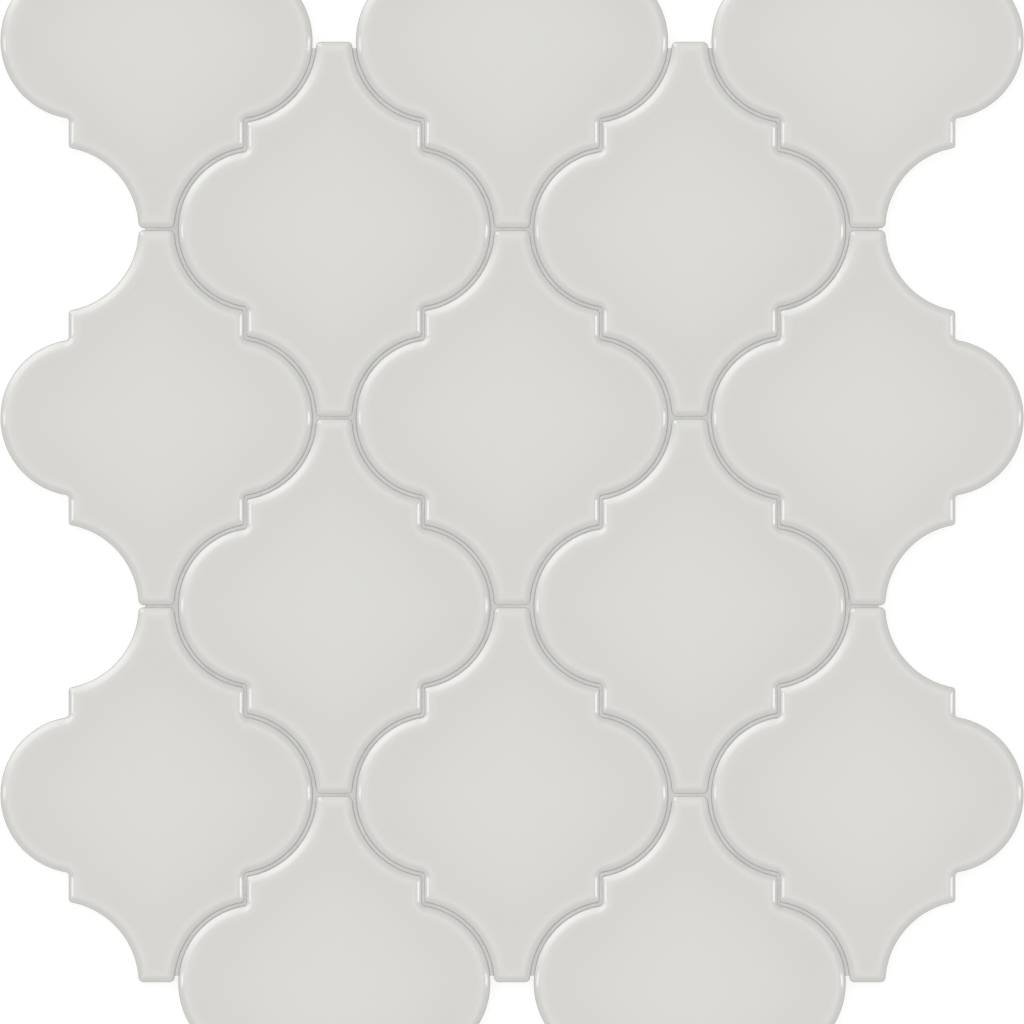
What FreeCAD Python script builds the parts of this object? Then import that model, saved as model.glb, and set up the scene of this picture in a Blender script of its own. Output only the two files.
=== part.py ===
"""A mosaic sheet of interlocking arabesque (lantern) wall tiles.

Fifteen glazed tiles lie in six staggered rows of three and two, face up, on a rectangle of glass-fibre
mesh. A pale joint filler stands between them and ends on the mesh's edge. Millimetres, +Z up, the origin
at the middle of the sheet on the surface that it lies on, +Y towards the first row.
"""

import FreeCAD, Part
import math
import os

import Sketcher

OUTPUT_FOLDER = "parts"

# Driving sizes in millimetres.
SIZES = {
    "tile_width": 78.0,         # over the two round side lobes
    "lobe_radius": 19.6,
    "neck_width": 8.9,          # across the square end of the top and bottom necks
    "step_height": 7.35,        # the short upright between a lobe and a hollow
    "joint_width": 1.0,         # between a lobe and the hollow round it
    "end_joint_width": 0.6,     # between two steps and between two neck ends
    "tile_thickness": 6.5,
    "edge_ease": 0.8,           # the glazed edge is eased by this much on the face and the side
    "neck_corner_lead": 0.5,    # how much larger the radius of the neck's corners is than the ease
    "step_corner_lead": 0.1,    # the same for the outward corner above each step
    "mesh_thickness": 0.5,
    "backing_inset": 1.6,       # the mesh and filler stop this far inside the open notches
    "filler_drop": 0.1,         # the filler lies this far below the eased edge
}

# Sizes that follow from the driving ones, as formulas of the second sheet.
LAYOUT = {
    "lobe_offset": "sizes.tile_width / 2 - sizes.lobe_radius",
    "column_pitch": "sizes.tile_width + sizes.neck_width + 2 * sizes.joint_width",
    "step_offset": "(column_pitch / 2 - sizes.end_joint_width) / 2",
    "hollow_radius": "sizes.lobe_radius + sizes.joint_width",
    "hollow_offset": "column_pitch / 2 - lobe_offset",
    "lobe_top": "sqrt(sizes.lobe_radius ^ 2 - (step_offset - lobe_offset) ^ 2)",
    "hollow_rise": "sqrt(hollow_radius ^ 2 - (hollow_offset - step_offset) ^ 2)",
    "row_pitch": "lobe_top + sizes.step_height + hollow_rise",
    "neck_end": "row_pitch - sizes.end_joint_width / 2",
    "neck_side": "hollow_offset - sqrt(hollow_radius ^ 2 - (row_pitch - neck_end) ^ 2)",
    "step_top": "lobe_top + sizes.step_height",
    "neck_corner_round": "sizes.edge_ease + sizes.neck_corner_lead",
    "step_corner_round": "sizes.edge_ease + sizes.step_corner_lead",
    "filler_height": "sizes.tile_thickness - sizes.edge_ease - sizes.filler_drop",
    "backing_width": "2 * (column_pitch + sizes.neck_width / 2 - sizes.backing_inset)",
    "backing_length": "2 * (1.5 * row_pitch + neck_end - sizes.backing_inset)",
}

# Names of the tiles in each row from -X to +X, and the rows from +Y to -Y.
LONG_ROW = ("left", "middle", "right")
SHORT_ROW = ("left", "right")
ROWS = (LONG_ROW, SHORT_ROW, LONG_ROW, SHORT_ROW, LONG_ROW, SHORT_ROW)

NEAR = 1e-4


def fill_sheet(sheet, cells, prefix):
    """One row of the sheet for each name: the name in column A and its value or formula in column B."""
    for number, (name, value) in enumerate(cells.items(), start=1):
        sheet.set(f"A{number}", name)
        sheet.setAlias(f"B{number}", name)
        sheet.set(f"B{number}", prefix + str(value))


def origin_plane(body, role):
    """The body's own origin plane, such as XY_Plane."""
    return next(feature for feature in body.Origin.OriginFeatures if feature.Role == role)


def bind(sketch, kind, places, name, start_value, formula):
    """A dimension of the sketch that follows a formula of the sheets."""
    number = sketch.addConstraint(Sketcher.Constraint(kind, *places, start_value))
    sketch.renameConstraint(number, name)
    sketch.setExpression(f"Constraints.{name}", formula)


def draw_outline_quarter(sketch, size):
    """A quarter of the tile's outline: half a lobe, the step, the hollow and half the neck's end."""
    point = FreeCAD.Vector
    lobe_offset, lobe_top = size("lobe_offset"), size("lobe_top")
    step_offset, step_top = size("step_offset"), size("step_top")
    hollow_offset, row_pitch = size("hollow_offset"), size("row_pitch")
    neck_side, neck_end = size("neck_side"), size("neck_end")

    lobe_circle = Part.Circle(point(lobe_offset, 0, 0), point(0, 0, 1), size("lobe_radius"))
    lobe_stop = math.atan2(lobe_top, step_offset - lobe_offset)
    hollow_circle = Part.Circle(point(hollow_offset, row_pitch, 0), point(0, 0, 1), size("hollow_radius"))
    hollow_start = math.atan2(neck_end - row_pitch, neck_side - hollow_offset) % math.tau
    hollow_stop = math.atan2(step_top - row_pitch, step_offset - hollow_offset) % math.tau

    middle = point(0, 0, 0)
    lobe_tip = point(size("tile_width") / 2, 0, 0)
    step_low, step_high = point(step_offset, lobe_top, 0), point(step_offset, step_top, 0)
    neck_corner, neck_middle = point(neck_side, neck_end, 0), point(0, neck_end, 0)
    baseline = sketch.addGeometry(Part.LineSegment(middle, lobe_tip))
    lobe = sketch.addGeometry(Part.ArcOfCircle(lobe_circle, 0, lobe_stop))
    step = sketch.addGeometry(Part.LineSegment(step_low, step_high))
    hollow = sketch.addGeometry(Part.ArcOfCircle(hollow_circle, hollow_start, hollow_stop))
    neck = sketch.addGeometry(Part.LineSegment(neck_corner, neck_middle))
    upright = sketch.addGeometry(Part.LineSegment(neck_middle, middle))

    start, end, centre = 1, 2, 3
    x_axis = -1
    origin = (x_axis, start)
    joins = (
        (baseline, start, *origin),
        (baseline, end, lobe, start),
        (lobe, end, step, start),
        (step, end, hollow, end),
        (hollow, start, neck, start),
        (neck, end, upright, start),
        (upright, end, baseline, start),
    )
    for join in joins:
        sketch.addConstraint(Sketcher.Constraint("Coincident", *join))
    for line in (baseline, neck):
        sketch.addConstraint(Sketcher.Constraint("Horizontal", line))
    for line in (step, upright):
        sketch.addConstraint(Sketcher.Constraint("Vertical", line))
    sketch.addConstraint(Sketcher.Constraint("PointOnObject", lobe, centre, x_axis))

    bind(sketch, "Radius", (lobe,), "lobe_radius", size("lobe_radius"), "sizes.lobe_radius")
    bind(sketch, "DistanceX", (*origin, lobe, centre), "lobe_offset", lobe_offset, "layout.lobe_offset")
    bind(sketch, "DistanceX", (*origin, step, start), "step_offset", step_offset, "layout.step_offset")
    bind(sketch, "Radius", (hollow,), "hollow_radius", size("hollow_radius"), "layout.hollow_radius")
    bind(sketch, "DistanceX", (*origin, hollow, centre), "hollow_offset", hollow_offset, "layout.hollow_offset")
    bind(sketch, "DistanceY", (*origin, hollow, centre), "row_pitch", row_pitch, "layout.row_pitch")
    bind(sketch, "DistanceY", (*origin, neck, start), "neck_end", neck_end, "layout.neck_end")


def upright_edges(shape, distance):
    """Names of the upright edges that stand this far from the X axis."""
    names = []
    for number, edge in enumerate(shape.Edges, start=1):
        low, high = (vertex.Point for vertex in edge.Vertexes)
        is_upright = math.hypot(low.x - high.x, low.y - high.y) < NEAR
        if is_upright and abs(abs(low.y) - distance) < NEAR:
            names.append(f"Edge{number}")
    return names


def edges_at_height(shape, height):
    """Names of the edges that lie wholly at this height."""
    names = []
    for number, edge in enumerate(shape.Edges, start=1):
        box = edge.BoundBox
        if abs(box.ZMin - height) < NEAR and abs(box.ZMax - height) < NEAR:
            names.append(f"Edge{number}")
    return names


def make_tile_form(doc, size):
    """The tile that the whole sheet repeats, on the origin with its back at Z 0."""
    body = doc.addObject("PartDesign::Body", "tile_form")

    outline = body.newObject("Sketcher::SketchObject", "outline_quarter")
    outline.AttachmentSupport = [(origin_plane(body, "XY_Plane"), "")]
    outline.MapMode = "FlatFace"
    draw_outline_quarter(outline, size)
    quarter = body.newObject("PartDesign::Pad", "quarter")
    quarter.Profile = outline
    quarter.setExpression("Length", "sizes.tile_thickness")
    doc.recompute()

    whole = body.newObject("PartDesign::MultiTransform", "whole")
    mirrors = []
    for plane in ("YZ_Plane", "XZ_Plane"):
        mirror = body.newObject("PartDesign::Mirrored", f"mirror_{plane[:2].lower()}")
        mirror.MirrorPlane = (origin_plane(body, plane), [""])
        mirrors.append(mirror)
    whole.Originals = [quarter]
    whole.Transformations = mirrors
    whole.Refine = True
    body.Tip = whole
    doc.recompute()

    rounded = whole
    for corner, distance in (("neck", size("neck_end")), ("step", size("step_top"))):
        corners = body.newObject("PartDesign::Fillet", f"{corner}_corners")
        corners.Base = (rounded, upright_edges(rounded.Shape, distance))
        corners.setExpression("Radius", f"layout.{corner}_corner_round")
        body.Tip = corners
        doc.recompute()
        rounded = corners

    glazed_edge = body.newObject("PartDesign::Chamfer", "glazed_edge")
    glazed_edge.Base = (rounded, edges_at_height(rounded.Shape, size("tile_thickness")))
    glazed_edge.setExpression("Size", "sizes.edge_ease")
    body.Tip = glazed_edge
    doc.recompute()
    return body


def lay_tile(doc, form, label, column, row):
    """One tile of the sheet: a clone of the form, so many column and row pitches from the middle."""
    clone = doc.addObject("PartDesign::FeatureBase", f"{label}_clone")
    clone.BaseFeature = form
    tile = doc.addObject("PartDesign::Body", label)
    tile.Label = label
    tile.Group = [clone]
    tile.Tip = clone
    tile.setExpression(".Placement.Base.x", f"layout.column_pitch * {column}")
    tile.setExpression(".Placement.Base.y", f"layout.row_pitch * {row}")
    tile.setExpression(".Placement.Base.z", "sizes.mesh_thickness")
    return tile


def lay_tiles(doc, form):
    """All the tiles, row by row, each row centred on the sheet."""
    tiles = []
    middle_row = (len(ROWS) - 1) / 2
    for row_number, names in enumerate(ROWS):
        middle_column = (len(names) - 1) / 2
        for column_number, name in enumerate(names):
            label = f"tile_row{row_number + 1}_{name}"
            tiles.append(lay_tile(doc, form, label, column_number - middle_column, middle_row - row_number))
    return tiles


def make_backing_block(doc, label, bottom, height):
    """A block on the backing's rectangle, centred on the sheet."""
    block = doc.addObject("Part::Box", label)
    block.setExpression("Length", "layout.backing_width")
    block.setExpression("Width", "layout.backing_length")
    block.setExpression("Height", height)
    block.setExpression(".Placement.Base.x", "-layout.backing_width / 2")
    block.setExpression(".Placement.Base.y", "-layout.backing_length / 2")
    block.setExpression(".Placement.Base.z", bottom)
    return block


def make_filler(doc, tiles):
    """The joint filler: what is left of a block on the mesh between the tiles' upright sides."""
    block = make_backing_block(doc, "filler_block", "sizes.mesh_thickness", "layout.filler_height")
    tile_field = doc.addObject("Part::Compound", "tile_field")
    tile_field.Links = tiles
    filler = doc.addObject("Part::Cut", "joint_filler")
    filler.Base = block
    filler.Tool = tile_field
    return filler


def check(doc, nodes):
    """Stops the build if any object failed or any node isn't one sound solid."""
    for item in doc.Objects:
        if "Invalid" in item.State or "Error" in item.State:
            raise RuntimeError(f"{item.Label} failed: {item.State}")
    for node in nodes:
        shape = node.Shape
        if shape.isNull() or not shape.isValid() or len(shape.Solids) != 1:
            raise RuntimeError(f"{node.Label} isn't one sound solid")


def main():
    doc = FreeCAD.newDocument("arabesque_sheet")
    sizes = doc.addObject("Spreadsheet::Sheet", "sizes")
    fill_sheet(sizes, SIZES, "")
    layout = doc.addObject("Spreadsheet::Sheet", "layout")
    doc.recompute()
    fill_sheet(layout, LAYOUT, "=")
    doc.recompute()

    def size(name):
        sheet = sizes if name in SIZES else layout
        return float(sheet.get(name))

    form = make_tile_form(doc, size)
    tiles = lay_tiles(doc, form)
    filler = make_filler(doc, tiles)
    mesh = make_backing_block(doc, "mesh_backing", "0", "sizes.mesh_thickness")
    doc.recompute()

    nodes = [*tiles, filler, mesh]
    check(doc, nodes)
    os.makedirs(OUTPUT_FOLDER, exist_ok=True)
    for node in nodes:
        node.Shape.exportStep(f"{OUTPUT_FOLDER}/{node.Label}.step")
        print(node.Label, round(node.Shape.Volume, 2))


main()
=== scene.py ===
import math

import bmesh
import bpy
from mathutils import Matrix, Vector


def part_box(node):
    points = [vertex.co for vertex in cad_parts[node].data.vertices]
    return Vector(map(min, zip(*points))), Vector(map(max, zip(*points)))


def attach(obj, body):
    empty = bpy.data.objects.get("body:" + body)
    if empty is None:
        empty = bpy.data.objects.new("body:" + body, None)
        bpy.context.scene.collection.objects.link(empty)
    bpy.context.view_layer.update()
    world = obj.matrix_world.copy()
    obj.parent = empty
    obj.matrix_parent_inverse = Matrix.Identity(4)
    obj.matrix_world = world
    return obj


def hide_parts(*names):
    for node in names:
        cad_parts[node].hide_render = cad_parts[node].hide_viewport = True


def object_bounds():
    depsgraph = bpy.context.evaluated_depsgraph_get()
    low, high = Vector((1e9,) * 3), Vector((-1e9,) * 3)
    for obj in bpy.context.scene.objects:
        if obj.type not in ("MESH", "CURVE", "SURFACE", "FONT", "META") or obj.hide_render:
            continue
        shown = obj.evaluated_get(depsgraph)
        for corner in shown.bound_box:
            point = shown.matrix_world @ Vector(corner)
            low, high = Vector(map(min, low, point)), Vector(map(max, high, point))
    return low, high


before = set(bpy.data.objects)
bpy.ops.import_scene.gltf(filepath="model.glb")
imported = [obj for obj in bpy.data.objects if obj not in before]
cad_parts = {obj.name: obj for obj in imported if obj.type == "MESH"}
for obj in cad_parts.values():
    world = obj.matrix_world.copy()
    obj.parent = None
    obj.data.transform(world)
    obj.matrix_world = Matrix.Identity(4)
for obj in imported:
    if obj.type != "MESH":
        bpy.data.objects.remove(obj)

cad_low, cad_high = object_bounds()

MM = 0.001
NEAR = 1e-7

# Names of the tiles in each row from -X to +X, and the rows from +Y to -Y.
LONG_ROW = ("left", "middle", "right")
SHORT_ROW = ("left", "right")
ROWS = (LONG_ROW, SHORT_ROW, LONG_ROW, SHORT_ROW, LONG_ROW, SHORT_ROW)
TILE_NODES = [f"tile_row{number}_{name}" for number, names in enumerate(ROWS, start=1) for name in names]

# The tile's outline. The rest of its sizes come from the frame. Inwards the glaze softens the corners: the
# inner ones widen, and the outward ones at the steps sharpen slowly, by these shares of the way in.
LOBE_RADIUS = 19.6 * MM
JOINT_WIDTH = 1.0 * MM
NECK_CORNER = 1.3 * MM
STEP_CORNER = 0.9 * MM
STEP_SHARPENING = 0.3
INNER_CORNER = 0.9 * MM
INNER_WIDENING = 1.6
LEAST_CORNER = 0.12 * MM

# The tile's section from its edge inwards: a round shoulder, then a long soft rise to the flat face.
BACK_EASE = 0.35 * MM
BACK_RIM = 1.2 * MM
WALL_EASE = 0.25 * MM
SHOULDER_WIDTH = 2.2 * MM
SHOULDER_FALL = 0.77 * MM
SHOULDER_STEPS = 12
CUSHION_REACH = 3.4 * MM
CUSHION_FALL = 0.06 * MM
CUSHION_STEPS = 3
FLAT_START = 3.7 * MM

# Steps along each line of a quarter of the outline, the short pieces at the ends of its straight lines, which
# keep the shading of the rest straight, and how far apart its rings are drawn.
LOBE_STEPS = 24
HOLLOW_STEPS = 20
CORNER_STEPS = 8
STRAIGHT_END = 0.2 * MM
RING_SPACING = 2.0 * MM

# The tile's plan on its own map runs from 0 to 1 along the tile, so this is its middle both ways.
PLAN_MIDDLE = 0.5

# The net: flat cross threads between pairs of thin long threads that pass over and under them.
NET_PITCH = 4.5 * MM
CROSS_THREAD_WIDTH = 1.0 * MM
CROSS_THREAD_HEIGHT = 0.16 * MM
LONG_THREAD_WIDTH = 0.5 * MM
LONG_THREAD_HEIGHT = 0.16 * MM
LONG_THREAD_GAP = 0.62 * MM
THREAD_SIDES = 6

# Finishes, as linear colours.
# The glaze's outer tone, and its middle tone: painted light in each tile's middle, and the tone of its
# clouds.
GLAZE_OUTER = (0.693, 0.685, 0.656, 1.0)
GLAZE_MIDDLE = (0.737, 0.729, 0.700, 1.0)
# A painted light band just inside each tile's edge.
GLAZE_RIM_LIGHT = (0.710, 0.701, 0.672, 1.0)
# Painted shade down the shoulder, which offsets the coat's extra reflection there.
GLAZE_SHOULDER_SHADE = (0.631, 0.623, 0.597, 1.0)
# A painted dark line of shade along the very edge of the glaze.
GLAZE_EDGE_SHADE = (0.430, 0.423, 0.404, 1.0)
BISQUE_PALE = (0.66, 0.60, 0.50, 1.0)
BISQUE_DARK = (0.56, 0.50, 0.41, 1.0)
FILLER_PALE = (0.650, 0.645, 0.630, 1.0)
FILLER_DARK = (0.520, 0.515, 0.505, 1.0)
# Painted shade on the filler along its borders with the tiles.
FILLER_EDGE_SHADE = (0.450, 0.445, 0.430, 1.0)
NET_PALE = (0.82, 0.83, 0.81, 1.0)
NET_DARK = (0.62, 0.64, 0.62, 1.0)
FLOOR_PLAIN = (0.60, 0.60, 0.60, 1.0)
FLOOR_SHADED = (0.28, 0.28, 0.28, 1.0)
WHITE = (1.0, 1.0, 1.0, 1.0)

# Grain: the scales of the mottle and of the fine grain for each finish, how detailed the two are, and the
# band of the mottle that counts.
GLAZE_GRAIN = (60.0, 420.0)
FILLER_GRAIN = (150.0, 2600.0)
NET_GRAIN = (90.0, 3800.0)
MOTTLE_DETAIL = 4.0
GRAIN_DETAIL = 2.0
MOTTLE_BAND = (0.3, 0.7)

# The glaze's painted light patch in the middle of each tile, where a slightly domed face would catch more
# reflection, and how much of its tone the clouds bring elsewhere.
MIDDLE_REACH = 31.0 * MM
MIDDLE_ROUNDNESS = 1.3
MIDDLE_FALL = 2.2
CLOUD_SHARE = 0.12

# Bands over which the glaze's tones come in, as insets in millimetres from the tile's edge: the painted light
# band, the coat, the painted shade down the shoulder and the painted dark line of shade at the edge. That
# painted dark edge also needs to be near the face, and the glaze ends on the tile's side along a line that
# waves.
RIM_LIGHT_BAND = (3.7, 2.7)
THICK_GLAZE_BAND = (2.6, 1.8)
SHOULDER_SHADE_BAND = (2.3, 0.6)
EDGE_SHADE_BAND = (0.2, 0.0)
EDGE_SHADE_DEPTHS = (2.2 * MM, 1.4 * MM)
GLAZE_LINE_HEIGHTS = (3.1 * MM, 3.4 * MM)
GLAZE_LINE_WAVE = 1.2 * MM

# The filler's painted shade along the tiles' edges, by distance from the middle line of a joint, and where it
# stops for the mouths of the straight joints that meet them: up from the neck joint's line, and aside from
# the step joint's.
SHADE_BORDER_START = (0.24 * MM, 0.46 * MM)
SHADE_BORDER_END = (0.75 * MM, 0.55 * MM)
NECK_MOUTH = (1.1 * MM, 1.9 * MM)
STEP_MOUTH = (0.5 * MM, 1.0 * MM)

# The filler's tone: shares of the two grains, and the band over which it goes from dark to pale.
FILLER_MOTTLE_SHARE = 0.5
FILLER_GRAIN_SHARE = 0.5
FILLER_TONE_BAND = (0.25, 0.6)

# Gloss and relief.
GLAZE_ROUGHNESS = 0.12
BISQUE_ROUGHNESS = 0.8
FILLER_ROUGHNESS = 0.92
NET_ROUGHNESS = (0.35, 0.6)
GLAZE_IOR = 1.5
FILLER_IOR = 1.45
NET_IOR = 1.5
COAT_IOR = 1.9
COAT_ROUGHNESS = 0.1
GLAZE_RELIEF = 0.002 * MM
BISQUE_RELIEF = 0.06 * MM
FILLER_RELIEF = 0.08 * MM
FILLER_BUMP = 0.6
NET_RELIEF = 0.05 * MM
NET_BUMP = 0.5

# The photograph's view: straight down, so many metres across the picture at the height of the faces.
VIEW_WIDTH = 0.256
LENS = 1000.0
SENSOR = 36.0
CAMERA_REACH = 100.0

# The studio: its floor, its light all round, and the window that shows in reflections, in degrees.
FLOOR_HALF_SIZE = 6.0
FLOOR_GAP = 0.2 * MM
FLOOR_GLOW = 0.78
WORLD_LIGHT = 0.31
WINDOW_LIGHT = 1.76
WINDOW_AZIMUTH = 129.5
WINDOW_ELEVATION = 26.0
WINDOW_CORE = 14.0
WINDOW_REACH = 58.0
WINDOW_NARROWING = 0.76
WINDOW_SILL = 13.0
WINDOW_CLEAR = 27.0

# Broad lamps: azimuth, elevation and spread in degrees, and strength.
LAMP_DISTANCE = 5.0
OVERHEAD_LIGHT = (135.0, 84.0, 60.0, 1.99)
UNDERSIDE_LIGHT = (0.0, -90.0, 20.0, 1.7)

# Strip softboxes: azimuth and elevation in degrees, and radiance. Their half sizes are angles too.
STRIP_DISTANCE = 6.0
STRIP_HALF_WIDTH = 3.5
STRIP_HALF_HEIGHT = 8.0
LEFT_STRIP = (180.0, 43.0, 1.8)
RIGHT_STRIP = (0.0, 42.5, 2.3)


def node_middle(node):
    """The middle of a CAD node's box."""
    low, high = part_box(node)
    return (low + high) / 2


class TileSizes:
    """The outline of one tile about its own middle, and the heights of its back and face."""

    def __init__(self):
        low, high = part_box("tile_row1_left")
        self.column_pitch = node_middle("tile_row1_middle").x - node_middle("tile_row1_left").x
        self.row_pitch = node_middle("tile_row1_left").y - node_middle("tile_row2_left").y
        self.back, self.face = low.z, high.z
        self.neck_end = (high.y - low.y) / 2
        end_joint_width = 2 * (self.row_pitch - self.neck_end)
        self.lobe_offset = (high.x - low.x) / 2 - LOBE_RADIUS
        self.step_offset = (self.column_pitch / 2 - end_joint_width) / 2
        self.hollow_offset = self.column_pitch / 2 - self.lobe_offset


tile = TileSizes()


def turn_between(centre, start, end):
    """The shorter turn about a centre from one point to another."""
    first = math.atan2(start.y - centre.y, start.x - centre.x)
    last = math.atan2(end.y - centre.y, end.x - centre.x)
    return (last - first + math.pi) % math.tau - math.pi


def sweep(bm, vert, centre, end, steps):
    """Draws an arc from a vertex about a centre, and gives its last vertex."""
    made = bmesh.ops.spin(bm, geom=[vert], cent=centre, axis=(0, 0, 1), steps=steps,
                          angle=turn_between(centre, vert.co, end))
    return next(item for item in made["geom_last"] if isinstance(item, bmesh.types.BMVert))


def draw_to(bm, vert, place):
    """Draws a straight line from a vertex, and gives its last vertex."""
    last = bmesh.ops.extrude_vert_indiv(bm, verts=[vert])["verts"][0]
    last.co = place
    return last


def draw_ring(bm, inset, height):
    """One closed line round the tile, so far inside its outline and at this height."""
    known = set(bm.verts) | set(bm.edges)
    lobe_radius = LOBE_RADIUS - inset
    hollow_radius = LOBE_RADIUS + JOINT_WIDTH + inset
    step_x, end_y = tile.step_offset - inset, tile.neck_end - inset
    inner_radius = INNER_CORNER + INNER_WIDENING * inset
    step_radius = max(STEP_CORNER - STEP_SHARPENING * inset, LEAST_CORNER)
    neck_radius = max(NECK_CORNER - inset, LEAST_CORNER)

    lobe = Vector((tile.lobe_offset, 0, height))
    hollow = Vector((tile.hollow_offset, tile.row_pitch, height))
    inner = Vector((step_x + inner_radius, 0, height))
    inner.y = math.sqrt((lobe_radius + inner_radius) ** 2 - (inner.x - lobe.x) ** 2)
    step = Vector((step_x - step_radius, 0, height))
    step.y = hollow.y - math.sqrt((hollow_radius + step_radius) ** 2 - (hollow.x - step.x) ** 2)
    neck = Vector((0, end_y - neck_radius, height))
    neck.x = hollow.x - math.sqrt((hollow_radius + neck_radius) ** 2 - (hollow.y - neck.y) ** 2)

    vert = bm.verts.new((lobe.x + lobe_radius, 0, height))
    vert = sweep(bm, vert, lobe, inner, LOBE_STEPS)
    vert = sweep(bm, vert, inner, inner - Vector((1, 0, 0)), CORNER_STEPS)
    for place in (inner.y + STRAIGHT_END, step.y - STRAIGHT_END, step.y):
        vert = draw_to(bm, vert, (step_x, place, height))
    vert = sweep(bm, vert, step, hollow, CORNER_STEPS)
    vert = sweep(bm, vert, hollow, neck, HOLLOW_STEPS)
    vert = sweep(bm, vert, neck, neck + Vector((0, 1, 0)), CORNER_STEPS)
    for place in (neck.x - STRAIGHT_END, 0):
        vert = draw_to(bm, vert, (place, end_y, height))
    for axis in ("X", "Y"):
        drawn = [item for item in [*bm.verts, *bm.edges] if item not in known]
        bmesh.ops.mirror(bm, geom=drawn, matrix=Matrix.Identity(4), merge_dist=NEAR, axis=axis)
    return [edge for edge in bm.edges if edge not in known]


def tile_section():
    """The tile's section as pairs of inset and height, from the rim of the back to the flat of the face."""

    def height(inset):
        shoulder = SHOULDER_FALL * max(1 - inset / SHOULDER_WIDTH, 0) ** 2
        cushion = CUSHION_FALL * max(1 - inset / CUSHION_REACH, 0) ** 2
        return tile.face - shoulder - cushion

    section = [
        (BACK_RIM, tile.back),
        (BACK_EASE, tile.back),
        (0.0, tile.back + BACK_EASE),
        (0.0, height(0.0) - WALL_EASE),
    ]
    insets = [SHOULDER_WIDTH * number / SHOULDER_STEPS for number in range(SHOULDER_STEPS)]
    insets += [SHOULDER_WIDTH + (CUSHION_REACH - SHOULDER_WIDTH) * number / CUSHION_STEPS
               for number in range(CUSHION_STEPS + 1)]
    insets.append(FLAT_START)
    return section + [(inset, height(inset)) for inset in insets]


def make_tile_template():
    """One tile about the origin: rings that follow the section, bridged, with a cap on the back and the face.

    The rings are drawn well apart and bridged there, because rings in one plane can be bridged the wrong way
    round. Then each one settles to its own height."""
    bm = bmesh.new()
    inset_layer = bm.verts.layers.float.new("edge_inset")
    section = tile_section()
    rings = [draw_ring(bm, inset, number * RING_SPACING) for number, (inset, _) in enumerate(section)]
    for lower, upper in zip(rings, rings[1:]):
        bmesh.ops.bridge_loops(bm, edges=lower + upper)
    for ring in (rings[0], rings[-1]):
        bmesh.ops.edgeloop_fill(bm, edges=ring)
    for ring, (inset, height) in zip(rings, section):
        for vert in {vert for edge in ring for vert in edge.verts}:
            vert.co.z = height
            vert[inset_layer] = inset / MM
    bmesh.ops.remove_doubles(bm, verts=bm.verts, dist=NEAR)
    bmesh.ops.recalc_face_normals(bm, faces=bm.faces)

    plan = bm.loops.layers.uv.new("tile_plan")
    for face in bm.faces:
        face.smooth = True
        for loop in face.loops:
            loop[plan].uv = loop.vert.co.xy / (2 * tile.neck_end) + Vector((PLAN_MIDDLE, PLAN_MIDDLE))
    return bm


def finish_piece(bm, name, material, node):
    """Turns a bmesh into a piece of the object that stands for one CAD node."""
    mesh = bpy.data.meshes.new(name)
    bm.to_mesh(mesh)
    mesh.materials.append(material)
    piece = bpy.data.objects.new(name, mesh)
    bpy.context.scene.collection.objects.link(piece)
    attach(piece, "root")
    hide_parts(node)


def lay_tiles(material):
    """The fifteen tiles, each a copy of the template moved to its own place."""
    template = make_tile_template()
    for node in TILE_NODES:
        copy = template.copy()
        middle = node_middle(node)
        bmesh.ops.translate(copy, verts=copy.verts, vec=(middle.x, middle.y, 0))
        finish_piece(copy, f"glazed_{node}", material, node)
        copy.free()
    template.free()


def draw_thread(bm, start, across, along, width, height, steps, lift):
    """One thread of the net: a flat ring of a few sides, extruded step by step and lifted as it goes."""
    upright = Vector((0, 0, 1))
    unit_ring = bmesh.ops.create_circle(bm, segments=THREAD_SIDES, radius=0.5)["verts"]
    for vert in unit_ring:
        vert.co = start + across * (vert.co.x * width) + upright * (vert.co.y * height + lift(0))
    edges = list(bm.edges)
    for number in range(1, steps + 1):
        made = bmesh.ops.extrude_edge_only(bm, edges=edges)["geom"]
        edges = [item for item in made if isinstance(item, bmesh.types.BMEdge)]
        verts = [item for item in made if isinstance(item, bmesh.types.BMVert)]
        rise = upright * (lift(number) - lift(number - 1))
        bmesh.ops.translate(bm, verts=verts, vec=along / steps + rise)
    bmesh.ops.holes_fill(bm, edges=bm.edges, sides=THREAD_SIDES)
    bmesh.ops.recalc_face_normals(bm, faces=bm.faces)


def repeat_thread(net, thread, count, step):
    """Adds a thread to the net so many times, each one a step further."""
    copy = bpy.data.meshes.new("thread_copy")
    for _ in range(count):
        thread.to_mesh(copy)
        net.from_mesh(copy)
        bmesh.ops.translate(thread, verts=thread.verts, vec=step)
    bpy.data.meshes.remove(copy)
    thread.free()


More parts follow.
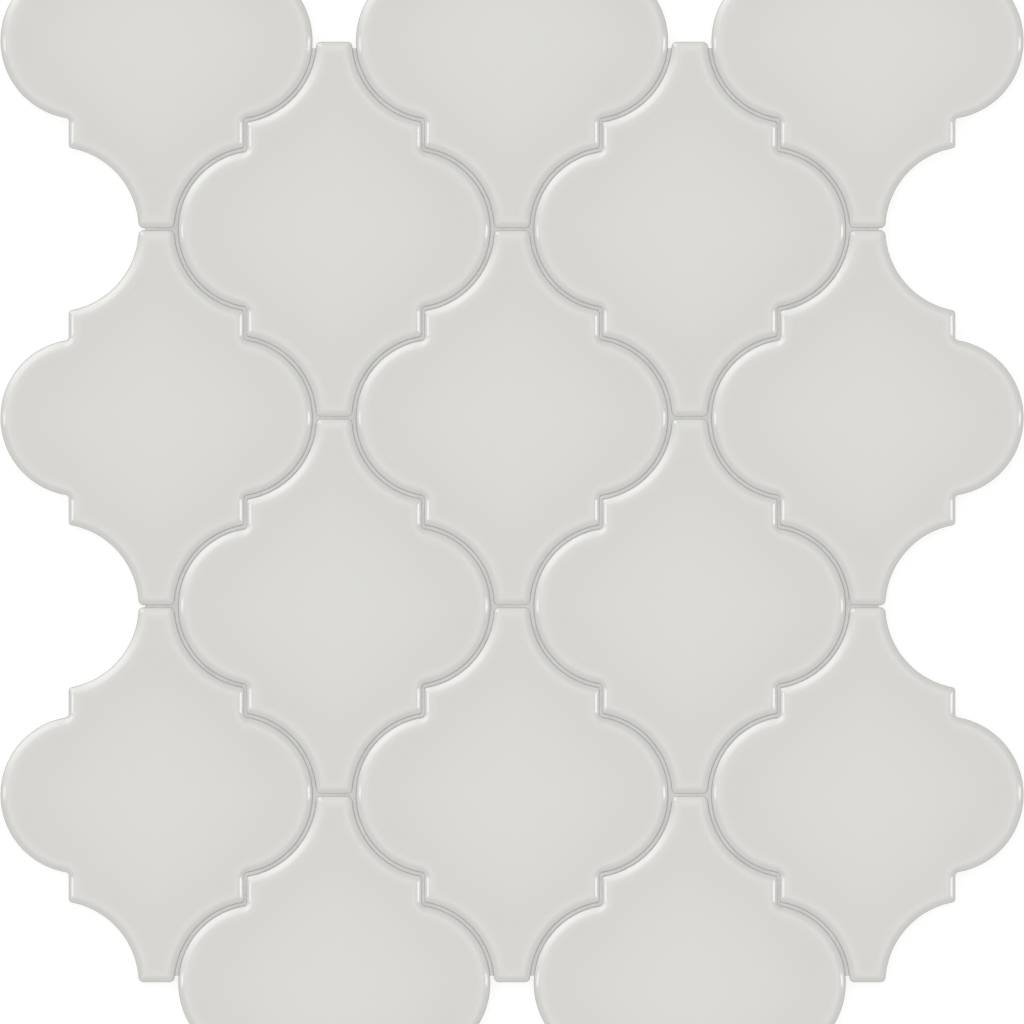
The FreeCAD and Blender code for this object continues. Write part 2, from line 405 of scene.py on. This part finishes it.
def make_net(material):
    """The glass-fibre net, on the rectangle of its CAD node."""
    low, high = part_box("mesh_backing")
    size, middle = high - low, (low + high) / 2
    cross_count = int(size.y // NET_PITCH)
    long_count = int(size.x // NET_PITCH)
    first_y = middle.y - NET_PITCH * (cross_count - 1) / 2
    first_x = middle.x - NET_PITCH * (long_count - 1) / 2
    net = bmesh.new()

    cross_thread = bmesh.new()
    draw_thread(cross_thread, Vector((low.x, first_y, middle.z)), Vector((0, 1, 0)), Vector((size.x, 0, 0)),
                CROSS_THREAD_WIDTH, CROSS_THREAD_HEIGHT, 1, lambda place: 0.0)
    repeat_thread(net, cross_thread, cross_count, (0, NET_PITCH, 0))

    swing = (CROSS_THREAD_HEIGHT + LONG_THREAD_HEIGHT) / 2
    for side in (-1, 1):
        start = Vector((first_x + side * LONG_THREAD_GAP / 2, first_y - NET_PITCH / 2, middle.z))

        def lift(place, side=side):
            return side * swing * math.sin(math.pi * place / 2)

        long_thread = bmesh.new()
        draw_thread(long_thread, start, Vector((1, 0, 0)), Vector((0, NET_PITCH * cross_count, 0)),
                    LONG_THREAD_WIDTH, LONG_THREAD_HEIGHT, 2 * cross_count, lift)
        repeat_thread(net, long_thread, long_count, (NET_PITCH, 0, 0))
    for face in net.faces:
        face.smooth = True
    finish_piece(net, "glass_fibre_net", material, "mesh_backing")
    net.free()


def add_node(tree, kind, **values):
    """A shader node with its own settings and the values of its sockets, by name or number."""
    node = tree.nodes.new(kind)
    for key, value in values.items():
        if key == "inputs":
            for socket, content in value.items():
                if isinstance(content, bpy.types.NodeSocket):
                    tree.links.new(content, node.inputs[socket])
                else:
                    node.inputs[socket].default_value = content
        else:
            setattr(node, key, value)
    return node


def math_node(tree, operation, first, second=0.0):
    """A sum, product or other figure of one or two values."""
    return add_node(tree, "ShaderNodeMath", operation=operation, inputs={0: first, 1: second}).outputs[0]


def vector_node(tree, operation, first, second=(0.0, 0.0, 0.0)):
    """A figure of one or two vectors."""
    return add_node(tree, "ShaderNodeVectorMath", operation=operation, inputs={0: first, 1: second})


def range_node(tree, value, low, high, to_low=0.0, to_high=1.0):
    """A smooth step of a value between two others."""
    node = add_node(tree, "ShaderNodeMapRange", interpolation_type="SMOOTHSTEP", inputs={
        "Value": value, "From Min": low, "From Max": high, "To Min": to_low, "To Max": to_high})
    return node.outputs["Result"]


def mix_node(tree, factor, first, second):
    """A mix of two colours, on the sockets that the node keeps for colours."""
    node = add_node(tree, "ShaderNodeMix", data_type="RGBA", inputs={0: factor, 6: first, 7: second})
    return node.outputs[2]


def bump_node(tree, height, strength=1.0, distance=1.0):
    """The normal of a surface that a height roughens, in metres unless a distance scales it."""
    node = add_node(tree, "ShaderNodeBump", inputs={
        "Strength": strength, "Distance": distance, "Height": height})
    return node.outputs["Normal"]


def object_position(tree):
    """The place on the object, in its own frame."""
    return add_node(tree, "ShaderNodeTexCoord").outputs["Object"]


def make_grain_group():
    """Two sizes of grain on a position: a mottle for colours and a fine grain for bumps."""
    group = bpy.data.node_groups.new("fired_grain", "ShaderNodeTree")
    group.interface.new_socket("Position", in_out="INPUT", socket_type="NodeSocketVector")
    group.interface.new_socket("Mottle Scale", in_out="INPUT", socket_type="NodeSocketFloat")
    group.interface.new_socket("Grain Scale", in_out="INPUT", socket_type="NodeSocketFloat")
    group.interface.new_socket("Mottle", in_out="OUTPUT", socket_type="NodeSocketFloat")
    group.interface.new_socket("Grain", in_out="OUTPUT", socket_type="NodeSocketFloat")
    start = group.nodes.new("NodeGroupInput")
    end = group.nodes.new("NodeGroupOutput")
    for name, detail in (("Mottle", MOTTLE_DETAIL), ("Grain", GRAIN_DETAIL)):
        noise = add_node(group, "ShaderNodeTexNoise", inputs={
            "Vector": start.outputs["Position"], "Scale": start.outputs[f"{name} Scale"], "Detail": detail})
        group.links.new(noise.outputs["Fac"], end.inputs[name])
    return group


def grain_outputs(tree, group, position, scales):
    """The grain group on a position, at a finish's own scales."""
    mottle_scale, grain_scale = scales
    node = add_node(tree, "ShaderNodeGroup", node_tree=group, inputs={
        "Position": position, "Mottle Scale": mottle_scale, "Grain Scale": grain_scale})
    return node.outputs["Mottle"], node.outputs["Grain"]


def new_material(name):
    """A material with nothing but its output."""
    material = bpy.data.materials.new(name)
    material.use_nodes = True
    tree = material.node_tree
    tree.nodes.clear()
    output = tree.nodes.new("ShaderNodeOutputMaterial")
    return material, tree, output


def painted_light_patch(tree):
    """A mask for painted light: one in the middle of each tile, falling to nothing round it."""
    plan = add_node(tree, "ShaderNodeUVMap", uv_map="tile_plan").outputs["UV"]
    from_middle = vector_node(tree, "SUBTRACT", plan, (PLAN_MIDDLE, PLAN_MIDDLE, 0.0)).outputs[0]
    parts = add_node(tree, "ShaderNodeSeparateXYZ", inputs={0: from_middle})
    lengths = [math_node(tree, "ABSOLUTE", parts.outputs[axis]) for axis in "XY"]
    powers = [math_node(tree, "POWER", length, MIDDLE_ROUNDNESS) for length in lengths]
    distance = math_node(tree, "POWER", math_node(tree, "ADD", *powers), 1 / MIDDLE_ROUNDNESS)
    share = math_node(tree, "MULTIPLY", distance, 2 * tile.neck_end / MIDDLE_REACH)
    fade = math_node(tree, "POWER", share, MIDDLE_FALL)
    return math_node(tree, "MAXIMUM", math_node(tree, "SUBTRACT", 1.0, fade), 0.0)


def make_glaze(grain_group):
    """Warm white glaze over a bisque body, with painted light and shade: lighter in the middle and in a band
    inside the edge, darker down the shoulder and in a thin line at the very edge.
    """
    material, tree, output = new_material("glazed_tile")
    position = object_position(tree)
    height = add_node(tree, "ShaderNodeSeparateXYZ", inputs={0: position}).outputs["Z"]
    inset = add_node(tree, "ShaderNodeAttribute", attribute_name="edge_inset").outputs["Fac"]
    mottle, grain = grain_outputs(tree, grain_group, position, GLAZE_GRAIN)

    # Painted light patch in the middle of each tile.
    face_colour = mix_node(tree, painted_light_patch(tree), GLAZE_OUTER, GLAZE_MIDDLE)
    # Painted light band just inside the edge.
    painted_rim_colour = mix_node(tree, range_node(tree, inset, *RIM_LIGHT_BAND), face_colour, GLAZE_RIM_LIGHT)
    cloud = range_node(tree, mottle, *MOTTLE_BAND, 0.0, CLOUD_SHARE)
    clouded_colour = mix_node(tree, cloud, painted_rim_colour, GLAZE_MIDDLE)
    # Painted shade down the shoulder.
    shaded_shoulder_colour = mix_node(tree, range_node(tree, inset, *SHOULDER_SHADE_BAND), clouded_colour, GLAZE_SHOULDER_SHADE)
    # Painted shade: a dark line at the very edge, near the face only.
    edge_shade_heights = [tile.face - depth for depth in EDGE_SHADE_DEPTHS]
    edge = math_node(tree, "MULTIPLY", range_node(tree, inset, *EDGE_SHADE_BAND),
                     range_node(tree, height, *edge_shade_heights))
    glaze_colour = mix_node(tree, edge, shaded_shoulder_colour, GLAZE_EDGE_SHADE)

    bisque_colour = mix_node(tree, mottle, BISQUE_DARK, BISQUE_PALE)
    glaze_line = math_node(tree, "ADD", height, math_node(tree, "MULTIPLY", mottle, GLAZE_LINE_WAVE))
    is_glazed = range_node(tree, glaze_line, *GLAZE_LINE_HEIGHTS)
    thick_glaze = math_node(tree, "MULTIPLY", range_node(tree, inset, *THICK_GLAZE_BAND), is_glazed)
    relief = range_node(tree, is_glazed, 0.0, 1.0, BISQUE_RELIEF, GLAZE_RELIEF)
    shader = add_node(tree, "ShaderNodeBsdfPrincipled", inputs={
        "Base Color": mix_node(tree, is_glazed, bisque_colour, glaze_colour),
        "Roughness": range_node(tree, is_glazed, 0.0, 1.0, BISQUE_ROUGHNESS, GLAZE_ROUGHNESS),
        "IOR": GLAZE_IOR,
        "Normal": bump_node(tree, math_node(tree, "MULTIPLY", grain, relief)),
        "Coat Weight": thick_glaze,
        "Coat Roughness": COAT_ROUGHNESS,
        "Coat IOR": COAT_IOR})
    tree.links.new(shader.outputs[0], output.inputs["Surface"])
    return material


def joint_border_shade(tree, position):
    """A mask for painted shade on the filler: one along both borders of the joints round the lobes, but not
    across the mouths of the straight joints that meet them. The lobes stand on two even grids: those of the
    long rows' tiles, and those of the short rows' tiles half a pitch away both ways."""
    place = add_node(tree, "ShaderNodeSeparateXYZ", inputs={0: position})
    half_pitch = tile.column_pitch / 2
    row_start = node_middle("tile_row1_middle").y
    from_row = math_node(tree, "SUBTRACT", place.outputs["Y"], row_start)
    aside = math_node(tree, "PINGPONG", place.outputs["X"], half_pitch)
    along = math_node(tree, "PINGPONG", from_row, tile.row_pitch)
    other_aside = math_node(tree, "SUBTRACT", half_pitch, aside)
    other_along = math_node(tree, "SUBTRACT", tile.row_pitch, along)
    step_mouth = [tile.step_offset + distance for distance in STEP_MOUTH]
    shade_borders = []
    for across, up in ((aside, along), (other_aside, other_along)):
        from_lobe = add_node(tree, "ShaderNodeCombineXYZ", inputs={
            "X": math_node(tree, "SUBTRACT", across, tile.lobe_offset), "Y": up})
        length = vector_node(tree, "LENGTH", from_lobe.outputs[0]).outputs["Value"]
        outwards = math_node(tree, "SUBTRACT", length, LOBE_RADIUS + JOINT_WIDTH / 2)
        off_middle = math_node(tree, "ABSOLUTE", outwards)
        shade_border = math_node(tree, "MULTIPLY", range_node(tree, off_middle, *SHADE_BORDER_START),
                           range_node(tree, off_middle, *SHADE_BORDER_END))
        past_mouths = math_node(tree, "MULTIPLY", range_node(tree, up, *NECK_MOUTH),
                                range_node(tree, across, *step_mouth))
        is_clear = math_node(tree, "MAXIMUM", past_mouths, math_node(tree, "LESS_THAN", outwards, 0.0))
        shade_borders.append(math_node(tree, "MULTIPLY", shade_border, is_clear))
    return math_node(tree, "MAXIMUM", *shade_borders)


def make_filler_finish(grain_group):
    """Pale sanded joint filler, with painted shade where it meets the tiles."""
    material, tree, output = new_material("joint_filler")
    position = object_position(tree)
    mottle, grain = grain_outputs(tree, grain_group, position, FILLER_GRAIN)
    tone = math_node(tree, "ADD", math_node(tree, "MULTIPLY", mottle, FILLER_MOTTLE_SHARE),
                     math_node(tree, "MULTIPLY", grain, FILLER_GRAIN_SHARE))
    clean_colour = mix_node(tree, range_node(tree, tone, *FILLER_TONE_BAND), FILLER_DARK, FILLER_PALE)
    shader = add_node(tree, "ShaderNodeBsdfPrincipled", inputs={
        # Painted shade along the filler's borders with the tiles.
        "Base Color": mix_node(tree, joint_border_shade(tree, position), clean_colour, FILLER_EDGE_SHADE),
        "Roughness": FILLER_ROUGHNESS,
        "IOR": FILLER_IOR,
        "Normal": bump_node(tree, grain, FILLER_BUMP, FILLER_RELIEF)})
    tree.links.new(shader.outputs[0], output.inputs["Surface"])
    return material


def make_net_finish(grain_group):
    """White glass fibre with a dried coat of glue."""
    material, tree, output = new_material("glass_fibre_net")
    mottle, grain = grain_outputs(tree, grain_group, object_position(tree), NET_GRAIN)
    shader = add_node(tree, "ShaderNodeBsdfPrincipled", inputs={
        "Base Color": mix_node(tree, grain, NET_DARK, NET_PALE),
        "Roughness": range_node(tree, mottle, *MOTTLE_BAND, *NET_ROUGHNESS),
        "IOR": NET_IOR,
        "Normal": bump_node(tree, grain, NET_BUMP, NET_RELIEF)})
    tree.links.new(shader.outputs[0], output.inputs["Surface"])
    return material


def ray_is_seen(tree, path):
    """One for the rays that show the studio itself: straight, in a reflection or through glass."""
    mirrored = math_node(tree, "MAXIMUM", path.outputs["Is Glossy Ray"], path.outputs["Is Transmission Ray"])
    return math_node(tree, "MAXIMUM", path.outputs["Is Camera Ray"], mirrored)


def make_floor_finish():
    """White in the picture, with a faint shadow. From below it is clear, and it lets the light through."""
    material, tree, output = new_material("studio_floor")
    path = tree.nodes.new("ShaderNodeLightPath")
    plain = add_node(tree, "ShaderNodeBsdfDiffuse", inputs={"Color": FLOOR_PLAIN})
    shaded = add_node(tree, "ShaderNodeBsdfDiffuse", inputs={"Color": FLOOR_SHADED})
    glow = add_node(tree, "ShaderNodeEmission", inputs={"Color": WHITE, "Strength": FLOOR_GLOW})
    white = add_node(tree, "ShaderNodeAddShader", inputs={0: shaded.outputs[0], 1: glow.outputs[0]})
    from_above = add_node(tree, "ShaderNodeMixShader", inputs={
        0: ray_is_seen(tree, path), 1: plain.outputs[0], 2: white.outputs[0]})
    from_below = tree.nodes.new("ShaderNodeNewGeometry").outputs["Backfacing"]
    is_clear = math_node(tree, "MAXIMUM", from_below, path.outputs["Is Shadow Ray"])
    clear = tree.nodes.new("ShaderNodeBsdfTransparent")
    one_way = add_node(tree, "ShaderNodeMixShader", inputs={
        0: is_clear, 1: from_above.outputs[0], 2: clear.outputs[0]})
    tree.links.new(one_way.outputs[0], output.inputs["Surface"])
    return material


def make_floor():
    """A plain pale floor just under the sheet."""
    bm = bmesh.new()
    bmesh.ops.create_grid(bm, x_segments=1, y_segments=1, size=FLOOR_HALF_SIZE)
    bmesh.ops.translate(bm, verts=bm.verts, vec=(0, 0, cad_low.z - FLOOR_GAP))
    mesh = bpy.data.meshes.new("studio_floor")
    bm.to_mesh(mesh)
    bm.free()
    mesh.materials.append(make_floor_finish())
    floor = bpy.data.objects.new("studio_floor", mesh)
    bpy.context.scene.collection.objects.link(floor)


def direction(azimuth, elevation):
    """A direction from the sheet: azimuth 0 is +X and 90 is +Y, in degrees."""
    turn, rise = math.radians(azimuth), math.radians(elevation)
    return Vector((math.cos(turn) * math.cos(rise), math.sin(turn) * math.cos(rise), math.sin(rise)))


def window_glow(tree, ray):
    """The soft window by the ray's direction: round, squeezed from the sides and faded out at a sill."""
    sideways = direction(WINDOW_AZIMUTH - 90.0, 0.0)
    aside = vector_node(tree, "DOT_PRODUCT", ray, sideways).outputs["Value"]
    squeeze = vector_node(tree, "SCALE", sideways * (1 / WINDOW_NARROWING - 1))
    tree.links.new(aside, squeeze.inputs["Scale"])
    squeezed = vector_node(tree, "NORMALIZE", vector_node(tree, "ADD", ray, squeeze.outputs[0]).outputs[0])
    middle = direction(WINDOW_AZIMUTH, WINDOW_ELEVATION)
    toward = vector_node(tree, "DOT_PRODUCT", squeezed.outputs[0], middle).outputs["Value"]
    spot = range_node(tree, math_node(tree, "ARCCOSINE", toward),
                      math.radians(WINDOW_REACH), math.radians(WINDOW_CORE), 0.0, WINDOW_LIGHT)
    rise = add_node(tree, "ShaderNodeSeparateXYZ", inputs={0: ray}).outputs["Z"]
    above_sill = range_node(tree, rise, direction(0.0, WINDOW_SILL).z, direction(0.0, WINDOW_CLEAR).z)
    return math_node(tree, "MULTIPLY", spot, above_sill)


def make_world():
    """Even light from all round, white where it is seen, with a soft bright window in its reflection."""
    world = bpy.data.worlds.new("studio_world")
    world.use_nodes = True
    tree = world.node_tree
    tree.nodes.clear()
    path = tree.nodes.new("ShaderNodeLightPath")
    ray = add_node(tree, "ShaderNodeTexCoord").outputs["Generated"]
    plain = range_node(tree, ray_is_seen(tree, path), 0.0, 1.0, WORLD_LIGHT, 1.0)
    window = math_node(tree, "MULTIPLY", window_glow(tree, ray), path.outputs["Is Glossy Ray"])
    sky = add_node(tree, "ShaderNodeBackground", inputs={
        "Color": WHITE, "Strength": math_node(tree, "ADD", plain, window)})
    output = tree.nodes.new("ShaderNodeOutputWorld")
    tree.links.new(sky.outputs[0], output.inputs["Surface"])
    bpy.context.scene.world = world


def aim(lamp, name, place):
    """Sets a lamp at a place, looking at the sheet, out of the picture's sight."""
    holder = bpy.data.objects.new(name, lamp)
    holder.location = place
    holder.rotation_euler = (-place).to_track_quat("-Z", "Y").to_euler()
    holder.visible_camera = False
    bpy.context.scene.collection.objects.link(holder)
    return holder


def make_broad_lamp(name, azimuth, elevation, spread, strength):
    """A broad soft lamp for shading alone."""
    lamp = bpy.data.lights.new(name, "SUN")
    lamp.angle = math.radians(spread)
    lamp.energy = strength
    holder = aim(lamp, name, direction(azimuth, elevation) * LAMP_DISTANCE)
    holder.visible_glossy = False


def make_strip(name, azimuth, elevation, radiance):
    """A strip softbox for reflections alone."""
    lamp = bpy.data.lights.new(name, "AREA")
    lamp.shape = "RECTANGLE"
    lamp.size = 2 * STRIP_DISTANCE * math.tan(math.radians(STRIP_HALF_WIDTH))
    lamp.size_y = 2 * STRIP_DISTANCE * math.tan(math.radians(STRIP_HALF_HEIGHT))
    lamp.energy = radiance * math.pi * lamp.size * lamp.size_y
    holder = aim(lamp, name, direction(azimuth, elevation) * STRIP_DISTANCE)
    holder.visible_diffuse = False


def make_lights():
    """The light from all round, the broad lamps over and under the sheet, and the strips beside it."""
    make_world()
    make_broad_lamp("overhead_light", *OVERHEAD_LIGHT)
    make_broad_lamp("underside_light", *UNDERSIDE_LIGHT)
    make_strip("left_strip", *LEFT_STRIP)
    make_strip("right_strip", *RIGHT_STRIP)


def make_camera():
    """A long lens straight above the middle of the sheet."""
    camera = bpy.data.cameras.new("camera")
    camera.lens = LENS
    camera.sensor_width = SENSOR
    camera.clip_end = CAMERA_REACH
    holder = bpy.data.objects.new("camera", camera)
    holder.location = (0, 0, cad_high.z + VIEW_WIDTH * LENS / SENSOR)
    bpy.context.scene.collection.objects.link(holder)
    bpy.context.scene.camera = holder


fired_grain = make_grain_group()
lay_tiles(make_glaze(fired_grain))
make_net(make_net_finish(fired_grain))
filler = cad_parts["joint_filler"]
filler.data.materials.clear()
filler.data.materials.append(make_filler_finish(fired_grain))
make_floor()
make_lights()
make_camera()
bpy.context.scene.view_settings.view_transform = "Standard"
